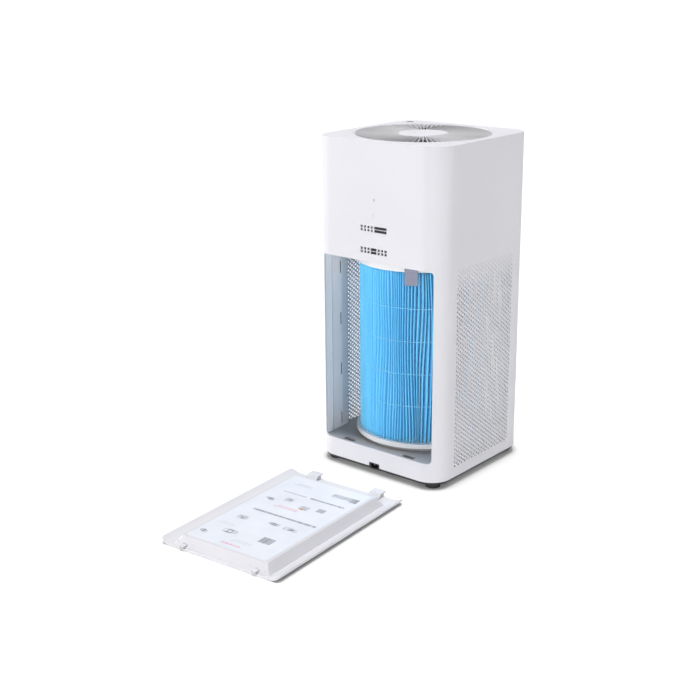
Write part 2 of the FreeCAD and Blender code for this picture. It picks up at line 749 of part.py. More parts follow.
def electronics():
    wall_in = "body_width / 2 - wall"
    card = [centred_block("main_card", 90, "board_thickness", 60, 0, 106.8, "main_board_at"),
            centred_block("main_chip", 22, 3, 22, -25, 109.1, "main_board_at + 22"),
            centred_block("main_plug", 8, 6, 14, -41, 110.6, "main_board_at + 44"),
            rod("main_tact", 2.5, 3.4, "rear_marks_x", 107.6, "rear_button_at", QUARTER),
            rod("main_led", 2, 2.4, "rear_marks_x", 107.6, "lens_at", QUARTER)]
    node(fuse("main_parts", card), "main_board")
    node(rod("rear_lens", "lens_radius", "body_width / 2 - 0.1 - 110", "rear_marks_x", 110, "lens_at",
             QUARTER), "rear_indicator_lens")
    screens = [centred_block("screen_%d" % k, 56, 1, 12, "vent_first - vent_pitch * 3.5",
                             wall_in + " - 0.5", level + " - 6")
               for k, level in enumerate(("vent_upper", "vent_lower"))]
    node(group("screens", screens), "sensor_vent_screens")
    node(centred_block("dust_box", 46, 15, 32, "rear_marks_x", 108.5, "deck_at + 6.2"), "particle_sensor")
    humidity = [centred_block("humidity_card", 14, "board_thickness", 10, -13, 112, "vent_upper - 5"),
                centred_block("humidity_chip", 4, 1.4, 4, -13, 113.5, "vent_upper - 2")]
    node(fuse("humidity_parts", humidity), "humidity_sensor")
    node(centred_block("status_bar", 24, "wall", 3, 0, "-body_width / 2 + wall / 2", "status_at"),
         "front_status_lens")
    cap = rod("rear_cap", "rear_button_radius", 7.8, "rear_marks_x", 112, "rear_button_at", QUARTER)
    flange = rod("rear_flange", "rear_button_radius + 2", 1.5, "rear_marks_x", 113, "rear_button_at", QUARTER)
    node(fuse("rear_button", [cap, flange]), "brightness_button")


# ------------------------------------------------------------------ filter cartridge

def filter_cartridge():
    low, high = "filter_bottom + cap_tall", "filter_top - ring_tall"
    tall = "filter_top - ring_tall - filter_bottom - cap_tall"
    node(tube("media", "filter_media_radius", "filter_media_inner", tall, low), "filter_media")
    node(tube("top_ring", "filter_ring_radius", "filter_core_radius", "ring_tall", high), "filter_top_ring")
    node(rod("bottom_cap", "filter_ring_radius", "cap_tall", 0, 0, "filter_bottom"), "filter_bottom_cap")
    node(tube("sleeve", "filter_media_inner", "filter_core_radius + 2", tall, low), "carbon_sleeve")
    cage = tube("cage", "filter_core_radius + 2", "filter_core_radius", tall, low)
    windows = []
    for turn in range(6):
        for level in range(6):
            window = block("cage_window_%d_%d" % (turn, level), 160, 22, 36)
            rotation = Rotation(Vector(0, 0, 1), 30 * turn)
            corner = rotation.multVec(Vector(-80, -11, 0))
            window.Placement = Placement(Vector(corner.x, corner.y, 0), rotation)
            bind(window, "Placement.Base.z", "%s + 6 + 46 * %d" % (low, level))
            windows.append(window)
    node(cut("cage_cut", cage, *windows), "filter_core")


def pull_strap():
    """A short tab of webbing that hangs down the outside of the cartridge's top ring."""
    turn = Rotation(Vector(0, 0, 1), size("strap_angle"))
    stand = size("filter_ring_radius") + size("strap_gap")
    corner = turn.multVec(Vector(-size("strap_width") / 2, stand, 0))
    obj = doc.addObject("Part::Box", "strap")
    obj.Placement = Placement(Vector(corner.x, corner.y, 0), turn)
    bind(obj, "Length", "strap_width")
    bind(obj, "Width", "strap_thick")
    bind(obj, "Height", "strap_top - strap_bottom")
    bind(obj, "Placement.Base.z", "strap_bottom")
    node(obj, "pull_strap")


# ------------------------------------------------------------------ rear cover, taken off

def lay_down(obj, label):
    """Put a cover piece, drawn with its lower edge on X, where the cover lies."""
    obj.Placement = Placement(Vector(), Rotation(Vector(0, 0, 1), size("cover_yaw")))
    place(obj, "cover_x", "cover_y", 0)
    return node(obj, label)


def cover_panel():
    """The outer skin: flat, with long sides that follow the housing's round corners."""
    along = Vector(0, 1, 0)
    outside = centred_block("skin_outside", "body_width", "cover_length", 80, 0, "cover_length / 2", 0)
    inside = centred_block("skin_inside", "body_width - 2 * wall", "cover_length + 4", 75,
                           0, "cover_length / 2", "wall")
    outside = rounded(outside, size("corner_radius"), along)
    inside = rounded(inside, size("corner_radius") - size("wall"), along)
    plan = centred_block("skin_plan", "cover_width", "cover_length", 14, 0, "cover_length / 2", -1)
    plan = rounded(plan, size("bay_corner") - 0.5)
    skin = doc.addObject("Part::Common", "skin")
    skin.Base, skin.Tool = cut("skin_shell", outside, inside), plan
    lay_down(skin, "cover_panel")


def tapered_block(name, width, start, end, low, height):
    """A block standing on low whose four walls lean in by the tray's draft, with rounded corners."""
    part = doc.addObject("PartDesign::Body", name)
    sketch = sketch_on(part, name + "_outline")
    raise_sketch(sketch, low)
    half = "(%s) / 2" % width
    draw_outline(sketch, [("-" + half, start), (half, start), (half, end), ("-" + half, end)])
    solid = pad(part, sketch, height)
    bind(solid, "TaperAngle", "-tray_draft")
    doc.recompute()
    leaning = [n for n, edge in enumerate(solid.Shape.Edges, start=1)
               if 0.1 < abs(edge.tangentAt(edge.FirstParameter).z) < 0.99]
    corners = part.newObject("PartDesign::Fillet", name + "_corners")
    corners.Base = (solid, ["Edge%d" % n for n in leaning])
    bind(corners, "Radius", "tray_corner")
    return part


def cover_tab(name, x):
    """A tab for the bay floor's slot: a ramp up from the panel, and a hook past the panel's edge."""
    part = doc.addObject("PartDesign::Body", name)
    sketch = sketch_on(part, name + "_side", "YZ_Plane")
    under = "tab_tall - tab_hook"
    draw_outline(sketch, [("-tab_out", under), ("0", under), ("0", "wall"), ("tab_root + tab_ramp", "wall"),
                          ("tab_root", "tab_tall"), ("-tab_out", "tab_tall")])
    pad(part, sketch, "tab_width")
    return place(part, x)


def cover_tray():
    """The raised inner moulding, with two hooked tabs at one end and two latch guides at the other."""
    tall = "tray_top - wall"
    raised = tapered_block("tray_block", "tray_width", "tray_start", "tray_end", "wall", tall)
    hollow = tapered_block("tray_hollow", "tray_width - 2 * tray_wall", "tray_start + tray_wall",
                           "tray_end - tray_wall", "wall", tall + " - tray_wall")
    ribs, tabs, windows = [], [], []
    for side in (LEFT, RIGHT):
        x = "tab_offset * %d" % side
        tab = cover_tab("cover_tab_%d" % (side + 1), x + " - tab_width / 2")
        tabs.append(rounded(tab, 1.2, Vector(0, 1, 0)))
        tabs.append(block("tab_arm_%d" % (side + 1), "tab_width - 6", "tray_start", 3,
                          x + " - tab_width / 2 + 3", "tab_root / 2", "wall"))
        x = "latch_offset * %d" % side
        for hand in (LEFT, RIGHT):
            rib = "%s + %d * (latch_width / 2 + 1.4) - 1" % (x, hand)
            ribs.append(block("latch_rib_%d_%d" % (side + 1, hand + 1), 2, 17, 6.5,
                              rib, "tray_end - 21", "wall"))
        windows.append(block("latch_window_%d" % (side + 1), "latch_nose + 1", 16, 4,
                             x + " - latch_nose / 2 - 0.5", "tray_end - 12", "wall + 0.8"))
    shell = cut("tray_shell", fuse("tray_with_tabs", [raised] + tabs), hollow)
    lay_down(cut("tray_moulding", fuse("tray_with_ribs", [shell] + ribs), *windows), "cover_tray")


def cover_label():
    inset = "(tray_top - wall) * tan(tray_draft * 1deg) + label_margin"
    width = "tray_width - 2 * (%s)" % inset
    length = "tray_end - tray_start - 2 * (%s)" % inset
    sheet_block = centred_block("label_sheet", width, length, "label_thick",
                                0, "(tray_end + tray_start) / 2", "tray_top")
    lay_down(rounded(sheet_block, 4.0), "instruction_label")


def cover_latch(label, side):
    """A flat slide between two guides, whose nose stands out through a window in the tray's end wall."""
    x = "latch_offset * %d" % side
    slide = centred_block(label + "_slide", "latch_width", 13, 5, x, "tray_end - 15", "wall + 0.3")
    nose = block(label + "_nose", "latch_nose", 13.5, 3,
                 x + " - latch_nose / 2", "tray_end - 9", "wall + 1.3")
    lay_down(fuse(label + "_parts", [slide, nose]), label)


# ------------------------------------------------------------------ assembly

def build():
    outer_casing()
    intake_panels()
    top_cover()
    outlet_grille()
    grille_cap()
    power_button_parts()
    base_spots = [(78 * a, 98 * b) for a, b in CORNERS]
    base_holes = screws("base_screws", base_spots, size("skirt_bottom"), size("body_bottom") + 13.4)
    floor_holes = [rod("pillar_hole_%d" % k, 1.5, 30, x, y, 0) for k, (x, y) in enumerate(base_spots)]
    base_parts(base_holes)
    power_inlet()
    power_board()
    leads()
    bay_floor(floor_holes)
    bay_liner("left_bay_liner", LEFT)
    bay_liner("right_bay_liner", RIGHT)
    interlock()
    diagonal = 103 * math.sqrt(0.5)
    duct_spots = [(diagonal * a, diagonal * b) for a, b in CORNERS]
    duct_holes = screws("duct_screws", duct_spots, size("duct_bottom") + 3, size("deck_at"), 2.8)
    fan_deck([rod("deck_screw_hole_%d" % k, 1.5, 20, x, y, "deck_at - 8")
              for k, (x, y) in enumerate(duct_spots)])
    fan_duct(duct_holes)
    bracket_spots = [(20, 0), (-20, 0), (0, 20), (0, -20)]
    motor(screws("bracket_screws", bracket_spots, size("bracket_at") + 3, size("bracket_at") - 9))
    impeller()
    rotor()
    electronics()
    filter_cartridge()
    pull_strap()
    cover_panel()
    cover_tray()
    cover_label()
    cover_latch("left_cover_latch", LEFT)
    cover_latch("right_cover_latch", RIGHT)
    doc.recompute()


def check():
    """Stop on any failed object or bad sub-part shape."""
    for obj in doc.Objects:
        if "Invalid" in obj.State or "Error" in obj.State:
            raise RuntimeError("%s failed: %s" % (obj.Label, obj.State))
    passed = []
    for obj in nodes:
        if obj.Shape.isNull() or not obj.Shape.Solids:
            raise RuntimeError("%s has no solid" % obj.Label)
        if any(obj.Shape.isPartner(shape) for shape in passed):
            continue                     # the same shape in another place
        if not obj.Shape.isValid():
            raise RuntimeError("%s has a bad shape" % obj.Label)
        passed.append(obj.Shape)


def export():
    os.makedirs("parts", exist_ok=True)
    for obj in nodes:
        obj.Shape.exportStep("parts/%s.step" % obj.Label)
        box = obj.Shape.BoundBox
        print("%-22s %2d solid  %9.0f mm3  x %7.1f %7.1f  y %7.1f %7.1f  z %6.1f %6.1f" % (
            obj.Label, len(obj.Shape.Solids), obj.Shape.Volume,
            box.XMin, box.XMax, box.YMin, box.YMax, box.ZMin, box.ZMax))


build()
check()
export()
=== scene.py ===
import json
import math
import random

import bmesh
import bpy
from mathutils import Matrix, Vector, noise


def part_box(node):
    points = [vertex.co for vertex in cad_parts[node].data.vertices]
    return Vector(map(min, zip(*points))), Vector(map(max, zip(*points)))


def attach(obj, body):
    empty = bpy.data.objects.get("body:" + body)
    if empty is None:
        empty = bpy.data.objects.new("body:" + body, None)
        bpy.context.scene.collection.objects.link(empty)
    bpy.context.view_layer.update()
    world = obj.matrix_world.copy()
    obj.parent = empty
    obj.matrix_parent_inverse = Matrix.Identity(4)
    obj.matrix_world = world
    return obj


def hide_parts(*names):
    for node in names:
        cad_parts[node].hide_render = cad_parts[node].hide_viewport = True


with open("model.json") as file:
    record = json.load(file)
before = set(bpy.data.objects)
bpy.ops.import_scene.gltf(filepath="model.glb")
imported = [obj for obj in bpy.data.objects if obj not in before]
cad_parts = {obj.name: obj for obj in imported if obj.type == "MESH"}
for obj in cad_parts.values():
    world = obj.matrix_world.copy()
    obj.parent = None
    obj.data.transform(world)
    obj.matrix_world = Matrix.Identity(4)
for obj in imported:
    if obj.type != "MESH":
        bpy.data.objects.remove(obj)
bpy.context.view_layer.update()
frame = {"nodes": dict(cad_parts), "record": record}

MM = 0.001

# ------------------------------------------------------------------ places, from the frame

MEDIA_LOW, MEDIA_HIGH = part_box("filter_media")
SLEEVE_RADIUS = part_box("carbon_sleeve")[1].x
STRAP_LOW, STRAP_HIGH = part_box("pull_strap")
RING_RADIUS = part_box("filter_top_ring")[1].x
LABEL_LOW, LABEL_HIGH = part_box("instruction_label")
LINER_LOW, LINER_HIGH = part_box("right_bay_liner")

COVER_YAW = math.radians(4.45)        # how far the loose cover is turned about +Z
STRAP_ANGLE = math.radians(27.8)      # where the strap hangs, from +Y towards -X
# slots in the liners, where black boxes are painted shade
STRAP_WIDTH = 20.5 * MM
LINER_SLOT_Y = 72.5 * MM
LINER_SLOT_FIRST = 57.5 * MM
LINER_SLOT_PITCH = 85.0 * MM
LINER_SLOTS = 4


# ------------------------------------------------------------------ camera, light and floor

def make_camera():
    """Looks down on the open rear bay from the tower's rear left."""
    data = bpy.data.cameras.new("camera")
    data.lens = 62.99
    data.sensor_width = 36.0
    camera = bpy.data.objects.new("camera", data)
    bpy.context.scene.collection.objects.link(camera)
    azimuth, elevation, roll = (math.radians(v) for v in (219.96, 17.54, -0.44))
    aim = Matrix.Rotation(azimuth, 4, "Z") @ Matrix.Rotation(math.pi / 2 - elevation, 4, "X")
    place = Matrix.Translation((-1.1213, 1.5170, 0.7731))
    camera.matrix_world = place @ aim @ Matrix.Rotation(roll, 4, "Z")
    bpy.context.scene.camera = camera


def make_sun(name, azimuth, elevation, strength, softness):
    """Distant light from an azimuth, counted from +Y towards -X, and an elevation, all in degrees."""
    data = bpy.data.lights.new(name, "SUN")
    data.energy = strength
    data.angle = math.radians(softness)
    light = bpy.data.objects.new(name, data)
    bpy.context.scene.collection.objects.link(light)
    a, e = math.radians(azimuth), math.radians(elevation)
    towards = Vector((-math.sin(a) * math.cos(e), math.cos(a) * math.cos(e), math.sin(e)))
    light.rotation_euler = towards.to_track_quat("Z", "Y").to_euler()


def make_light():
    """A low soft key behind the tower, one from its right side, a light overhead, and a faint room."""
    world = bpy.data.worlds.new("studio")
    world.use_nodes = True
    background = world.node_tree.nodes["Background"]
    background.inputs["Color"].default_value = (0.97, 0.975, 1.0, 1)
    background.inputs["Strength"].default_value = 0.08
    bpy.context.scene.world = world
    bpy.context.scene.view_settings.view_transform = "Standard"
    make_sun("key", azimuth=26, elevation=15, strength=1.42, softness=30)
    make_sun("side", azimuth=-74, elevation=14, strength=1.7, softness=30)
    make_sun("overhead", azimuth=0, elevation=90, strength=3.6, softness=14)


FLOOR_REACH = 90.0                    # metres, far enough to fill the view
BACKDROP_REACH = 40.0                 # metres, inside the camera's far limit
BACKDROP_TALL = 24.0                  # metres
BACKDROP_SIDES = 96
PAINTED_SHADOW_REACH = 14 * MM               # how far out from a piece the painted shadow darkens the floor
FLOOR_GLOW = 0.38                     # the floor's own light


def make_floor():
    bm = bmesh.new()
    bmesh.ops.create_grid(bm, x_segments=1, y_segments=1, size=FLOOR_REACH)
    mesh = bpy.data.meshes.new("floor")
    bm.to_mesh(mesh)
    bm.free()
    floor = bpy.data.objects.new("floor", mesh)
    bpy.context.scene.collection.objects.link(floor)
    mesh.materials.append(paper_floor())


def make_backdrop():
    """A pale wall round the floor, seen in level views only. It neither lights nor shades."""
    turns = [2 * math.pi * k / BACKDROP_SIDES for k in range(BACKDROP_SIDES)]
    spots = [(BACKDROP_REACH * math.cos(turn), BACKDROP_REACH * math.sin(turn)) for turn in turns]
    mesh = bpy.data.meshes.new("backdrop")
    mesh.from_pydata([(x, y, z) for z in (0.0, BACKDROP_TALL) for x, y in spots], [],
                     ring_faces(BACKDROP_SIDES, 2))
    mesh.materials.append(paper_backdrop())
    wall = bpy.data.objects.new("backdrop", mesh)
    bpy.context.scene.collection.objects.link(wall)
    wall.visible_diffuse = wall.visible_glossy = wall.visible_shadow = False


# ------------------------------------------------------------------ material helpers

def start(name, roughness, **sockets):
    """A new Principled material. Values that are the same all over go straight on its sockets."""
    made = bpy.data.materials.new(name)
    made.use_nodes = True
    shader = made.node_tree.nodes["Principled BSDF"]
    shader.inputs["Roughness"].default_value = roughness
    for socket, value in sockets.items():
        shader.inputs[socket.replace("_", " ")].default_value = value
    return made, made.node_tree, shader


def coordinates(tree, stretch=(1, 1, 1), turn=(0, 0, 0)):
    source = tree.nodes.new("ShaderNodeTexCoord")
    mapping = tree.nodes.new("ShaderNodeMapping")
    mapping.inputs["Scale"].default_value = stretch
    mapping.inputs["Rotation"].default_value = turn
    tree.links.new(source.outputs["Object"], mapping.inputs["Vector"])
    return mapping.outputs["Vector"]


def noise_layer(tree, scale, detail=3.0, stretch=(1, 1, 1)):
    texture = tree.nodes.new("ShaderNodeTexNoise")
    texture.inputs["Scale"].default_value = scale
    texture.inputs["Detail"].default_value = detail
    tree.links.new(coordinates(tree, stretch), texture.inputs["Vector"])
    return texture.outputs["Fac"]


WAVE_PERIOD = 0.31416                 # of the wave texture at a scale of one


def ridge_layer(tree, pitch, axis, turn=(0, 0, 0)):
    """Soft ridges across one axis, a pitch apart."""
    texture = tree.nodes.new("ShaderNodeTexWave")
    texture.bands_direction = axis
    texture.inputs["Scale"].default_value = WAVE_PERIOD / pitch
    texture.inputs["Distortion"].default_value = 0.6
    texture.inputs["Detail"].default_value = 1.0
    tree.links.new(coordinates(tree, turn=turn), texture.inputs["Vector"])
    return texture.outputs["Fac"]


def spread(tree, value, low, high):
    """Stretch a noise value to run from low to high."""
    node = tree.nodes.new("ShaderNodeMapRange")
    node.inputs["From Min"].default_value = 0.3
    node.inputs["From Max"].default_value = 0.7
    node.inputs["To Min"].default_value = low
    node.inputs["To Max"].default_value = high
    tree.links.new(value, node.inputs["Value"])
    return node.outputs["Result"]


def arithmetic(tree, operation, first, second):
    node = tree.nodes.new("ShaderNodeMath")
    node.operation = operation
    for socket, value in zip(node.inputs, (first, second)):
        if isinstance(value, (int, float)):
            socket.default_value = value
        else:
            tree.links.new(value, socket)
    return node.outputs["Value"]


def blend_colours(tree, factor, first, second):
    """Colours first and second mixed by factor. Each is three numbers or another node's output."""
    node = tree.nodes.new("ShaderNodeMix")
    node.data_type = "RGBA"
    sockets = {s.identifier: s for s in node.inputs}
    tree.links.new(factor, sockets["Factor_Float"])
    for key, value in (("A_Color", first), ("B_Color", second)):
        if isinstance(value, tuple):
            sockets[key].default_value = (*value, 1)
        else:
            tree.links.new(value, sockets[key])
    return [s for s in node.outputs if s.identifier == "Result_Color"][0]


def relief(tree, shader, height, depth, strength=1.0):
    """Add relief of the given depth, in metres, on top of what the shader has."""
    bump = tree.nodes.new("ShaderNodeBump")
    bump.inputs["Strength"].default_value = strength
    bump.inputs["Distance"].default_value = depth
    tree.links.new(height, bump.inputs["Height"])
    below = shader.inputs["Normal"]
    if below.links:
        tree.links.new(below.links[0].from_socket, bump.inputs["Normal"])
    tree.links.new(bump.outputs["Normal"], below)


def shade(colour, share):
    return tuple(min(1.0, c * share) for c in colour)


def moulded(name, colour, roughness, grain=0.5 * MM, depth=0.012 * MM, **sockets):
    """Injection-moulded plastic: fine texture, faint flow marks in the colour, uneven gloss."""
    made, tree, shader = start(name, roughness, **sockets)
    flow = spread(tree, noise_layer(tree, 7.0, 2.0), 0, 1)
    speckle = spread(tree, noise_layer(tree, 900.0, 2.0), 0, 1)
    base = blend_colours(tree, flow, shade(colour, 0.975), shade(colour, 1.015))
    base = blend_colours(tree, arithmetic(tree, "MULTIPLY", speckle, 0.12), base, shade(colour, 0.88))
    tree.links.new(base, shader.inputs["Base Color"])
    gloss = spread(tree, noise_layer(tree, 60.0, 4.0), roughness - 0.05, roughness + 0.05)
    tree.links.new(gloss, shader.inputs["Roughness"])
    relief(tree, shader, noise_layer(tree, 1 / grain, 2.0), depth)
    return made


# ------------------------------------------------------------------ materials, one for each slot

def white_shell():
    return moulded("white_shell", (0.715, 0.71, 0.75), 0.42, Coat_Weight=0.08, Coat_Roughness=0.3)


def cover_inner():
    return moulded("cover_inner", (0.57, 0.565, 0.595), 0.38,
                    Subsurface_Weight=0.15, Subsurface_Scale=0.004, Subsurface_Radius=(1, 1, 1))


def silver_vane():
    return moulded("silver_vane", (0.84, 0.84, 0.86), 0.36, Metallic=0.1)


def grey_liner():
    return moulded("grey_liner", (0.88, 0.86, 0.86), 0.50, grain=0.8 * MM, depth=0.02 * MM)


def floor_grey():
    return moulded("floor_grey", (0.34, 0.34, 0.35), 0.50, grain=0.8 * MM, depth=0.02 * MM)


def grey_fan():
    return moulded("grey_fan", (0.045, 0.045, 0.05), 0.5)


def black_plastic():
    return moulded("black_plastic", (0.018, 0.018, 0.020), 0.42)


def key_plastic():
    return moulded("key_plastic", (0.16, 0.16, 0.17), 0.35)


def filter_ring():
    return moulded("filter_ring", (0.80, 0.81, 0.83), 0.36, grain=0.7 * MM)


def clear_lens():
    return moulded("clear_lens", (0.52, 0.53, 0.56), 0.22, Coat_Weight=0.5)


def black_rubber():
    """Matt rubber with a slightly dusty skin."""
    made, tree, shader = start("black_rubber", 0.8)
    dust = spread(tree, noise_layer(tree, 160.0, 5.0), 0, 1)
    tree.links.new(blend_colours(tree, dust, (0.012, 0.012, 0.013), (0.035, 0.034, 0.033)),
                   shader.inputs["Base Color"])
    relief(tree, shader, noise_layer(tree, 1500.0), 0.03 * MM)
    return made


def circuit_board():
    """Green solder mask with bare pads and traces showing through as a fine pattern."""
    made, tree, shader = start("circuit_board", 0.35, Coat_Weight=0.4)
    cells = tree.nodes.new("ShaderNodeTexVoronoi")
    cells.distance = "MANHATTAN"
    cells.inputs["Scale"].default_value = 240.0
    tree.links.new(coordinates(tree), cells.inputs["Vector"])
    pads = arithmetic(tree, "LESS_THAN", cells.outputs["Distance"], 0.16)
    cloud = spread(tree, noise_layer(tree, 90.0), 0, 1)
    mask = blend_colours(tree, cloud, (0.01, 0.10, 0.045), (0.02, 0.17, 0.07))
    tree.links.new(blend_colours(tree, pads, mask, (0.62, 0.58, 0.42)), shader.inputs["Base Color"])
    return made


def steel_screw():
    made, tree, shader = start("steel_screw", 0.32, Metallic=1.0)
    streak = spread(tree, noise_layer(tree, 300.0, 3.0, (1, 1, 0.1)), 0, 1)
    tree.links.new(blend_colours(tree, streak, (0.48, 0.48, 0.50), (0.66, 0.66, 0.67)),
                   shader.inputs["Base Color"])
    tree.links.new(spread(tree, noise_layer(tree, 700.0), 0.24, 0.42), shader.inputs["Roughness"])
    return made


def motor_metal():
    made, tree, shader = start("motor_metal", 0.5, Metallic=0.6)
    patch = spread(tree, noise_layer(tree, 120.0, 5.0), 0, 1)
    tree.links.new(blend_colours(tree, patch, (0.055, 0.055, 0.06), (0.10, 0.10, 0.105)),
                   shader.inputs["Base Color"])
    relief(tree, shader, noise_layer(tree, 1200.0), 0.02 * MM)
    return made


def blue_media():
    """Nonwoven filter paper: pale fibres over blue, in vertical streaks along the folds."""
    made, tree, shader = start("blue_media", 0.85, Specular_IOR_Level=0.2, Sheen_Weight=0.4,
                               Sheen_Roughness=0.25, Sheen_Tint=(0.72, 0.94, 1.0, 1))
    streak = spread(tree, noise_layer(tree, 150.0, 3.0, (1, 1, 0.05)), 0, 1)
    base = blend_colours(tree, streak, (0.09, 0.53, 0.93), (0.15, 0.64, 0.99))
    fibre = spread(tree, noise_layer(tree, 1400.0, 4.0, (1, 1, 0.35)), 0, 0.35)
    tree.links.new(blend_colours(tree, fibre, base, (0.44, 0.86, 1.0)), shader.inputs["Base Color"])
    relief(tree, shader, noise_layer(tree, 1800.0, 4.0, (1, 1, 0.4)), 0.12 * MM)
    return made


def glue():
    """Hot-melt glue, pale and slightly milky over the blue."""
    made, tree, shader = start("hot_melt_glue", 0.3, Coat_Weight=0.3)
    milk = spread(tree, noise_layer(tree, 220.0, 3.0), 0, 1)
    tree.links.new(blend_colours(tree, milk, (0.22, 0.64, 0.97), (0.38, 0.78, 1.0)),
                   shader.inputs["Base Color"])
    relief(tree, shader, noise_layer(tree, 500.0), 0.05 * MM)
    return made


def carbon_felt():
    made, tree, shader = start("carbon_felt", 0.95, Sheen_Weight=0.2)
    grit = spread(tree, noise_layer(tree, 900.0, 5.0), 0, 1)
    tree.links.new(blend_colours(tree, grit, (0.010, 0.010, 0.011), (0.05, 0.05, 0.052)),
                   shader.inputs["Base Color"])
    relief(tree, shader, noise_layer(tree, 700.0, 5.0), 0.3 * MM)
    return made


def strap_webbing():
    """Plain-woven tape: crossing threads, with painted light and shade: the colour is lighter on the threads'
    crowns and darker between them.
    """
    made, tree, shader = start("strap_webbing", 0.8, Sheen_Weight=0.3)
    turn = (0, 0, -STRAP_ANGLE)
    across = ridge_layer(tree, 1.1 * MM, "X", turn)
    down = ridge_layer(tree, 0.9 * MM, "Z", turn)
    weave = arithmetic(tree, "MAXIMUM", across, down)
    fuzz = arithmetic(tree, "MULTIPLY", noise_layer(tree, 1500.0, 4.0), 0.3)
    height = arithmetic(tree, "ADD", weave, fuzz)
    # painted light and shade: crowns of the weave lighter, the gaps between threads darker
    tree.links.new(blend_colours(tree, weave, (0.20, 0.21, 0.28), (0.33, 0.34, 0.44)),
                   shader.inputs["Base Color"])
    relief(tree, shader, height, 0.25 * MM)
    return made


def thread():
    made, tree, shader = start("stitch_thread", 0.7, Sheen_Weight=0.2)
    twist = spread(tree, noise_layer(tree, 2500.0, 2.0), 0, 1)
    tree.links.new(blend_colours(tree, twist, (0.50, 0.48, 0.51), (0.66, 0.64, 0.67)),
                   shader.inputs["Base Color"])
    relief(tree, shader, noise_layer(tree, 2500.0, 2.0), 0.05 * MM)
    return made


def grey_foam():
    made, tree, shader = start("grey_foam", 0.95)
    cell = spread(tree, noise_layer(tree, 1100.0, 4.0), 0, 1)
    tree.links.new(blend_colours(tree, cell, (0.05, 0.052, 0.056), (0.14, 0.145, 0.15)),
                   shader.inputs["Base Color"])
    relief(tree, shader, noise_layer(tree, 1100.0, 4.0), 0.3 * MM)
    return made


def cover_skin():
    """The panel's moulding, lacquered like the casing outside and bare inside, where it faces up here."""
    made, tree, shader = start("cover_skin", 0.42, Coat_Weight=0.08, Coat_Roughness=0.3)
    source = tree.nodes.new("ShaderNodeTexCoord")
    parts = tree.nodes.new("ShaderNodeSeparateXYZ")
    tree.links.new(source.outputs["Normal"], parts.inputs["Vector"])
    inside = arithmetic(tree, "GREATER_THAN", parts.outputs["Z"], 0.1)
    flow = spread(tree, noise_layer(tree, 7.0, 2.0), 0, 1)
    bare = blend_colours(tree, flow, (0.57, 0.565, 0.59), (0.595, 0.59, 0.615))
    tree.links.new(blend_colours(tree, inside, (0.715, 0.71, 0.75), bare), shader.inputs["Base Color"])
    relief(tree, shader, noise_layer(tree, 2000.0, 2.0), 0.012 * MM)
    return made


def label_paper():
    """Coated paper, faintly blue and not quite flat."""
    made, tree, shader = start("label_paper", 0.35, Coat_Weight=0.25, Coat_Roughness=0.2)
    cloud = spread(tree, noise_layer(tree, 30.0, 4.0), 0, 1)
    tree.links.new(blend_colours(tree, cloud, (0.61, 0.637, 0.695), (0.66, 0.68, 0.735)),
                   shader.inputs["Base Color"])
    relief(tree, shader, noise_layer(tree, 40.0, 2.0), 0.2 * MM)
    return made


def ink(name, dark, light):
    """Printing ink with slightly uneven cover."""
    made, tree, shader = start(name, 0.5)
    cover = spread(tree, noise_layer(tree, 700.0, 4.0), 0, 1)
    tree.links.new(blend_colours(tree, cover, dark, light), shader.inputs["Base Color"])
    return made


def paper_floor():
    """A bright studio sweep that gives part of its own light. Near pieces an ambient occlusion node darkens
    its colour and dims its glow: painted shadow where pieces stand on it.
    """
    made, tree, shader = start("studio_paper", 0.9, Emission_Color=(1, 1, 1, 1), Specular_IOR_Level=0.0)
    painted_contact_shadow = tree.nodes.new("ShaderNodeAmbientOcclusion")
    painted_contact_shadow.samples = 8
    painted_contact_shadow.inputs["Distance"].default_value = PAINTED_SHADOW_REACH
    cloud = spread(tree, noise_layer(tree, 3.0), 0, 1)
    paper = blend_colours(tree, cloud, (0.54, 0.54, 0.54), (0.56, 0.56, 0.56))
    # painted shadow: near pieces the floor's colour goes to dark grey and its glow fades
    tree.links.new(blend_colours(tree, painted_contact_shadow.outputs["AO"], (0.32, 0.32, 0.32), paper),
                   shader.inputs["Base Color"])
    glow = arithmetic(tree, "MULTIPLY", painted_contact_shadow.outputs["AO"], FLOOR_GLOW)
    tree.links.new(glow, shader.inputs["Emission Strength"])
    return made


def paper_backdrop():
    made, tree, shader = start("backdrop_paper", 0.9, Specular_IOR_Level=0.0, Emission_Strength=1.1)
    cloud = spread(tree, noise_layer(tree, 0.1), 0, 1)
    tree.links.new(blend_colours(tree, cloud, (0.97, 0.97, 0.97), (1.0, 1.0, 1.0)),
                   shader.inputs["Emission Color"])
    return made


MATERIALS = {make.__name__: make() for make in (
    white_shell, cover_inner, silver_vane, grey_liner, grey_fan, black_plastic, key_plastic, filter_ring,
    clear_lens, black_rubber, circuit_board, steel_screw, motor_metal, blue_media, carbon_felt,
    strap_webbing, grey_foam, label_paper)}


# ------------------------------------------------------------------ CAD nodes

def finish_cad_nodes():
    """Each CAD node takes the material of its slot."""
    for part in frame["record"]["subparts"]:
        mesh = frame["nodes"][part["node"]].data
        mesh.materials.clear()
        mesh.materials.append(MATERIALS[part["material_slot"]])
    frame["nodes"]["cover_panel"].data.materials[0] = cover_skin()
    frame["nodes"]["bay_floor"].data.materials[0] = floor_grey()


def soften(node, width, segments=2):
    """Round a CAD node's sharp edges a little, as a mould does."""
    piece = frame["nodes"][node]
    weld = piece.modifiers.new("weld", "WELD")
    weld.merge_threshold = 0.002 * MM
    bevel = piece.modifiers.new("edge_radius", "BEVEL")
    bevel.width = width
    bevel.segments = segments
    bevel.limit_method = "ANGLE"
    bevel.angle_limit = math.radians(40)
    bevel.use_clamp_overlap = True
    normals = piece.modifiers.new("normals", "WEIGHTED_NORMAL")
    normals.weight = 100


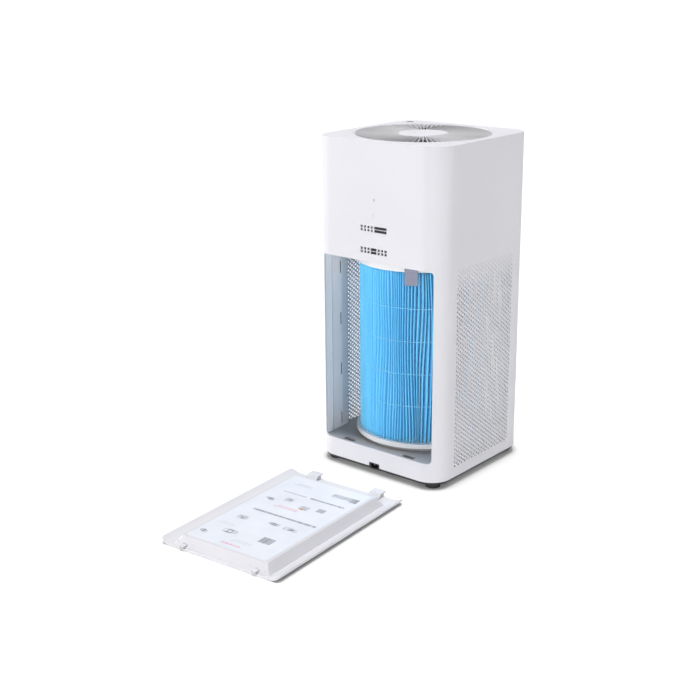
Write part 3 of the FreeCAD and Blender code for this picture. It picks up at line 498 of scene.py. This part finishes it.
def soften_edges():
    for node, width in (("outer_casing", 0.5 * MM), ("top_cover", 0.5 * MM), ("cover_panel", 0.7 * MM),
                        ("filter_top_ring", 1.0 * MM), ("grille_cap", 0.4 * MM),
                        ("filter_bottom_cap", 1.2 * MM), ("bay_floor", 0.6 * MM), ("power_button", 0.4 * MM),
                        ("rubber_feet", 0.8 * MM), ("base_plate", 0.6 * MM), ("left_bay_liner", 0.3 * MM),
                        ("right_bay_liner", 0.3 * MM), ("power_inlet", 0.4 * MM)):
        soften(node, width)
    soften("cover_tray", 1.6 * MM, 4)


# ------------------------------------------------------------------ pieces made here

def new_piece(name, vertices, faces, material, body):
    mesh = bpy.data.meshes.new(name)
    mesh.from_pydata([tuple(v) for v in vertices], [], faces)
    mesh.materials.append(material)
    mesh.validate()
    piece = bpy.data.objects.new(name, mesh)
    bpy.context.scene.collection.objects.link(piece)
    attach(piece, body)
    return piece


def ring_faces(count, levels, first=0):
    """Quads of a closed band: levels rows of count points, the rows upwards, seen from outside."""
    faces = []
    for level in range(levels - 1):
        low, high = first + level * count, first + (level + 1) * count
        for k in range(count):
            ahead = (k + 1) % count
            faces.append((low + k, low + ahead, high + ahead, high + k))
    return faces


FOLDS = 132
FOLD_LEVELS = 36
FOLD_STEPS = 12                       # points of one fold, from crease to crease
FOLD_DEPTH = 26.6 * MM
FOLD_SHARPNESS = 3.4                  # how fast a fold's sides fall away from its rounded tip


def fold_depth(share):
    """How deep a fold is below its tip, at a share of the way from crease to crease."""
    return FOLD_DEPTH * abs(2 * share - 1) ** FOLD_SHARPNESS


def crease(k, height):
    """The angle of crease k at a height. Neighbours sway together, and a little by themselves."""
    pitch = 2 * math.pi / FOLDS
    k = k % FOLDS
    round_way = Vector((math.cos(k * pitch), math.sin(k * pitch), 0))
    together = noise.noise(round_way * 4.0 + Vector((0, 0, height * 7.0)))
    alone = noise.noise(Vector((k * 3.7, 11.0, height * 4.0)))
    return pitch * (1.3 * together + 0.45 * alone)


def fold_tip(k, height):
    """How far the tip of fold k stands in from the media's outer radius."""
    slow = noise.noise(Vector((k * 1.9, 4.0, height * 5.0)))
    return 1.0 * MM + 1.1 * MM * slow


def pleated_media():
    """The folded blue paper, round the carbon sleeve and between the two end pieces."""
    outer, inner = MEDIA_HIGH.x, SLEEVE_RADIUS + 0.2 * MM
    low, high = MEDIA_LOW.z, MEDIA_HIGH.z
    pitch = 2 * math.pi / FOLDS
    columns = FOLDS * FOLD_STEPS
    vertices = []
    for level in range(FOLD_LEVELS):
        z = low + (high - low) * level / (FOLD_LEVELS - 1)
        for k in range(FOLDS):
            here = k * pitch + crease(k, z)
            ahead = (k + 1) * pitch + crease(k + 1, z)
            tip = outer - fold_tip(k, z)
            for step in range(FOLD_STEPS):
                share = step / FOLD_STEPS
                angle = here + (ahead - here) * share
                radius = tip - fold_depth(share) * (tip - inner - 0.1 * MM) / FOLD_DEPTH
                vertices.append((radius * math.cos(angle), radius * math.sin(angle), z))
    faces = ring_faces(columns, FOLD_LEVELS)
    first = len(vertices)
    for z in (low, high):
        for k in range(columns):
            angle = 2 * math.pi * k / columns
            vertices.append((inner * math.cos(angle), inner * math.sin(angle), z))
    faces += [face[::-1] for face in ring_faces(columns, 2, first)]
    top = (FOLD_LEVELS - 1) * columns
    for k in range(columns):
        ahead = (k + 1) % columns
        faces.append((first + k, first + ahead, ahead, k))
        faces.append((top + k, top + ahead, first + columns + ahead, first + columns + k))
    piece = new_piece("pleated_media", vertices, faces, MATERIALS["blue_media"], "cartridge")
    piece.data.shade_smooth()
    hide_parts("filter_media")


BEADS = 4
BEAD_FIRST = 60.3 * MM                # above the media's lower end
BEAD_PITCH = 52.4 * MM
BEAD_RADIUS = 0.5 * MM
BEAD_DEPTH = 2.6 * MM                 # the beads lie between the folds, a little below their tips


def glue_beads():
    """Thin rings of glue that hold the folds apart."""
    outer = MEDIA_HIGH.x
    steps, sides = 3 * FOLDS, 6
    vertices, faces = [], []
    for bead in range(BEADS):
        level = MEDIA_LOW.z + BEAD_FIRST + bead * BEAD_PITCH
        first = len(vertices)
        for side in range(sides):
            turn = 2 * math.pi * side / sides
            for k in range(steps):
                angle = 2 * math.pi * k / steps
                droop = 0.5 * MM * noise.noise(Vector((angle * 9, bead * 7.0, 0)))
                fat = BEAD_RADIUS * (1 + 0.35 * noise.noise(Vector((angle * 30, bead * 5.0, 3.0))))
                radius = outer - BEAD_DEPTH + fat * math.cos(turn)
                vertices.append((radius * math.cos(angle), radius * math.sin(angle),
                                 level + droop + fat * math.sin(turn)))
        for side in range(sides):
            here, ahead = first + side * steps, first + (side + 1) % sides * steps
            for k in range(steps):
                after = (k + 1) % steps
                faces.append((here + k, here + after, ahead + after, ahead + k))
    piece = new_piece("glue_beads", vertices, faces, glue(), "cartridge")
    piece.data.shade_smooth()


def strap_point(across, out, z):
    """A point on the strap: across its width, out from the cartridge's top ring, at a height."""
    turn = Matrix.Rotation(STRAP_ANGLE, 3, "Z")
    spot = turn @ Vector((across, RING_RADIUS + out, 0))
    return Vector((spot.x, spot.y, z))


def strap_path():
    """The tape's middle line: down the outside, round the fold, and up again next to the ring."""
    low, high = STRAP_LOW.z, STRAP_HIGH.z
    outside, inside = 1.75 * MM, 0.75 * MM
    middle, bend = (outside + inside) / 2, (outside - inside) / 2
    fold = low + 1.2 * MM
    path = [(outside, high - (high - fold) * k / 14) for k in range(15)]
    for turn in (math.pi * k / 6 for k in range(1, 6)):
        path.append((middle + bend * math.cos(turn), fold - bend * 1.4 * math.sin(turn)))
    path += [(inside, fold + (high - fold) * k / 8) for k in range(9)]
    return path


def woven_strap():
    """A folded tape, sewn through near its upper end."""
    columns = 17
    path = strap_path()
    vertices = []
    for out, z in path:
        for c in range(columns):
            across = STRAP_WIDTH * (c / (columns - 1) - 0.5)
            wave = 0.10 * MM * noise.noise(Vector((across * 90, z * 90, out * 500)))
            vertices.append(strap_point(across, out + wave, z))
    faces = []
    for r in range(len(path) - 1):
        for c in range(columns - 1):
            a = r * columns + c
            faces.append((a, a + 1, a + columns + 1, a + columns))
    piece = new_piece("woven_strap", vertices, faces, MATERIALS["strap_webbing"], "strap")
    solid = piece.modifiers.new("thickness", "SOLIDIFY")
    solid.thickness = 0.6 * MM
    solid.offset = 0.0
    piece.data.shade_smooth()
    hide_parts("pull_strap")


def strap_stitches():
    """Two rows of stitches across the strap, near its upper end."""
    bm = bmesh.new()
    for row in range(2):
        z = STRAP_HIGH.z - 5.0 * MM - row * 3.0 * MM
        for k in range(7):
            across = STRAP_WIDTH * (k - 3) / 8
            spot = Matrix.Translation(strap_point(across, 2.0 * MM, z)) @ Matrix.Rotation(STRAP_ANGLE, 4, "Z")
            shape = Matrix.Diagonal((1.0 * MM, 0.22 * MM, 0.24 * MM, 1))
            bmesh.ops.create_uvsphere(bm, u_segments=10, v_segments=6, radius=1.0, matrix=spot @ shape)
    add_bmesh("strap_stitches", bm, thread(), "strap")


def add_bmesh(name, bm, material, body):
    mesh = bpy.data.meshes.new(name)
    bm.to_mesh(mesh)
    bm.free()
    mesh.materials.append(material)
    mesh.shade_smooth()
    piece = bpy.data.objects.new(name, mesh)
    bpy.context.scene.collection.objects.link(piece)
    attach(piece, body)
    return piece


# ------------------------------------------------------------------ generic print on the cover's label

def label_matrix():
    """The label's own frame: X across it, Y away from the tabs, on its upper face."""
    middle = (LABEL_LOW + LABEL_HIGH) / 2
    return Matrix.Translation((middle.x, middle.y, LABEL_HIGH.z)) @ Matrix.Rotation(COVER_YAW, 4, "Z")


def add_mark(bm, x, y, wide, tall, turn=0.0):
    """A thin flat patch of ink with its middle at x, y, all in millimetres."""
    spot = Matrix.Translation((x * MM, y * MM, 0.03 * MM)) @ Matrix.Rotation(turn, 4, "Z")
    shape = Matrix.Diagonal((wide * MM, tall * MM, 0.05 * MM, 1))
    bmesh.ops.create_cube(bm, size=1.0, matrix=label_matrix() @ spot @ shape)


def text_rows(bm, rng, x, y, wide, rows, pitch=4.2, tall=1.3, longest=5.5, gap=1.8):
    """Rows of short dashes that stand for lines of print. They spell nothing."""
    for row in range(rows):
        at = x - wide / 2
        end = x + wide / 2 * (1 if row < rows - 1 or rows == 1 else rng.uniform(0.0, 0.8))
        while at < end:
            length = rng.uniform(1.6, longest)
            add_mark(bm, at + length / 2, y - row * pitch, length, tall)
            at += length + rng.uniform(0.9, gap)


def add_outline(bm, x, y, wide, tall, line=0.5):
    """An empty rectangle, as round a picture."""
    for side in (-1, 1):
        add_mark(bm, x, y + side * tall / 2, wide + line, line)
        add_mark(bm, x + side * wide / 2, y, line, tall - line)


def add_picture(bm, rng, x, y, wide, tall):
    """A little drawing: boxes and strokes, of nothing in particular."""
    for _ in range(4):
        across, down = rng.uniform(0.25, 0.6) * wide, rng.uniform(0.25, 0.6) * tall
        add_outline(bm, x + rng.uniform(-0.2, 0.2) * wide, y + rng.uniform(-0.25, 0.25) * tall,
                    across, down, 0.8)
    for _ in range(3):
        add_mark(bm, x + rng.uniform(-0.3, 0.3) * wide, y + rng.uniform(-0.3, 0.3) * tall,
                 0.3 * wide, 0.9, rng.uniform(-0.8, 0.8))


def add_bars(bm, rng, x, y, wide, tall):
    """Upright bars of uneven width."""
    at = x - wide / 2
    while at < x + wide / 2:
        bar = rng.choice((0.6, 1.0, 1.6))
        add_mark(bm, at, y, bar, tall)
        at += bar + rng.choice((0.5, 0.7, 0.9))


def label_print():
    """Print on the label, in millimetres from its middle. Its far end is towards the tabs."""
    rng = random.Random(11)
    grey, faint, pink, dark, amber = (bmesh.new() for _ in range(5))
    text_rows(grey, rng, 37, -98, 30, 2)
    text_rows(grey, rng, 29, -69, 41, 1, tall=3.2, longest=3.4, gap=2.4)
    text_rows(dark, rng, -31, -69, 58, 1, tall=4.0, longest=3.4, gap=2.6)
    text_rows(dark, rng, -8, 5, 112, 1, tall=4.6, longest=3.4, gap=2.8)
    text_rows(faint, rng, 50, 67, 30, 2)
    text_rows(faint, rng, -8, 102, 34, 2)
    text_rows(pink, rng, 9, -20, 40, 2, tall=1.9)
    text_rows(pink, rng, 1, 113, 34, 1, tall=3.2)
    for x, y, wide, tall in ((22, -48, 20, 14), (44, 36, 24, 14), (-12, 28, 24, 12), (-40, 30, 24, 12),
                             (26, 82, 26, 18), (60, 100, 14, 10), (50, -35, 20, 12)):
        add_picture(grey, rng, x, y, wide, tall)
    for k in range(4):
        add_outline(dark, -24 - 9 * k, -98, 6, 9, 0.9)
        add_mark(dark, -24 - 9 * k, -98, 4.5, 2.0, math.pi / 4)
    add_bars(dark, rng, -59, -97, 11, 14)
    add_bars(dark, rng, -34, 77, 20, 17)
    add_mark(grey, -39, -42, 13, 11)
    for x in (-8, -13, -18):
        add_outline(dark, x, -36, 4, 9, 0.8)
    add_mark(amber, -11, -31, 7, 3.5)
    for name, bm, darker, lighter in (("grey", grey, (0.30, 0.31, 0.35), (0.38, 0.39, 0.43)),
                                      ("faint", faint, (0.44, 0.46, 0.51), (0.50, 0.52, 0.57)),
                                      ("pink", pink, (0.58, 0.30, 0.38), (0.64, 0.36, 0.44)),
                                      ("amber", amber, (0.60, 0.33, 0.10), (0.68, 0.40, 0.15)),
                                      ("dark", dark, (0.13, 0.13, 0.15), (0.20, 0.20, 0.22))):
        material = ink(name + "_ink", darker, lighter)
        piece = add_bmesh("label_marks_" + name, bm, material, "rear_cover")
        piece.data.shade_flat()


# ------------------------------------------------------------------ painted highlight and shade on the bay's liners

HIGHLIGHT_STRIP_OUTLINE = ((-0.25, -12.2), (-0.25, -13.5), (1.55, -15.5), (1.9, -15.2), (0.1, -13.2), (0.1, -12.2))


def liner_step_highlights():
    """A pale strip along the step of each liner: a painted highlight on the step's edge."""
    count = len(HIGHLIGHT_STRIP_OUTLINE)
    low, high = LINER_LOW.z + 6 * MM, LINER_HIGH.z - 1 * MM
    for side, name in ((1, "right_liner_highlight_strip"), (-1, "left_liner_highlight_strip")):
        vertices = []
        for z in (low, high):
            for out, back in HIGHLIGHT_STRIP_OUTLINE:
                vertices.append((side * (LINER_LOW.x + out * MM), LINER_HIGH.y + back * MM, z))
        faces = ring_faces(count, 2) + [tuple(range(count))[::-1], tuple(range(count, 2 * count))]
        if side > 0:
            faces = [face[::-1] for face in faces]
        # the strip is a painted highlight, lighter than the liner it lies on
        new_piece(name, vertices, faces, MATERIALS["filter_ring"], "housing")


def liner_slot_shade():
    """Black patches in the liners' slots, flush with the sheet: painted shade for the dark inside of each
    slot.
    """
    for side, name in ((1, "right_slot_shade"), (-1, "left_slot_shade")):
        bm = bmesh.new()
        for k in range(LINER_SLOTS):
            middle = (side * (LINER_LOW.x + 2.7 * MM), LINER_SLOT_Y, LINER_SLOT_FIRST + LINER_SLOT_PITCH * k)
            shape = Matrix.Diagonal((1.6 * MM, 2.1 * MM, 19.6 * MM, 1))
            # each black box is painted shade standing where a slot opens into the liner
            bmesh.ops.create_cube(bm, size=1.0, matrix=Matrix.Translation(middle) @ shape)
        bmesh.ops.bevel(bm, geom=bm.edges[:], offset=0.3 * MM, segments=2, affect="EDGES")
        add_bmesh(name, bm, MATERIALS["black_plastic"], "housing")


# ------------------------------------------------------------------ the scene


make_camera()
make_light()
make_floor()
make_backdrop()
finish_cad_nodes()
soften_edges()
pleated_media()
glue_beads()
woven_strap()
strap_stitches()
label_print()
liner_step_highlights()
liner_slot_shade()
